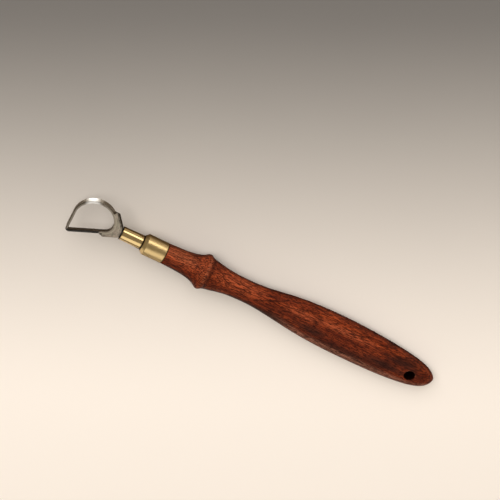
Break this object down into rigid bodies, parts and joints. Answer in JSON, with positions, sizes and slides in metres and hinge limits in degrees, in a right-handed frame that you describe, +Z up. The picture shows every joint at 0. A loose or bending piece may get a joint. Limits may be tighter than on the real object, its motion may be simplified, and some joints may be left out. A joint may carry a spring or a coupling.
{
  "type": "pottery loop tool",
  "caption": "Hand trimming tool for leather-hard clay: a sharp bent steel loop on a saddle, brass neck and ferrule, and a shaped hardwood paddle handle with a hanging hole.",
  "frame": {"origin": "middle of the bottom of the bounding box of the tool as it lies on a bench, on its collar and the end of its paddle", "axes": "+X runs from the cutting loop to the tip of the handle, +Y is the side of the loop's round arch, +Z is up out of the paddle's broad front face"},
  "size_m": [0.2296, 0.0248, 0.0203],
  "materials": {
    "loop_steel": "ground and polished spring steel band, light wear",
    "yoke_steel": "filed warm grey steel, satin",
    "silver_braze": "cleaned silver braze",
    "shank_steel": "plain drawn rod",
    "brass": "turned and polished brass with fine axial and turning scratches",
    "rosewood": "oiled red-brown hardwood, semi-gloss, dark streaks and open pores along the grain",
    "glue": "cured clear amber adhesive"
  },
  "bodies": {
    "root": {"cutting_loop": "loop_steel", "loop_yoke": "yoke_steel", "seat_braze": "silver_braze", "shank": "shank_steel", "brass_neck": "brass", "brass_ferrule": "brass", "handle": "rosewood", "shank_adhesive": "glue"}
  },
  "joints": []
}
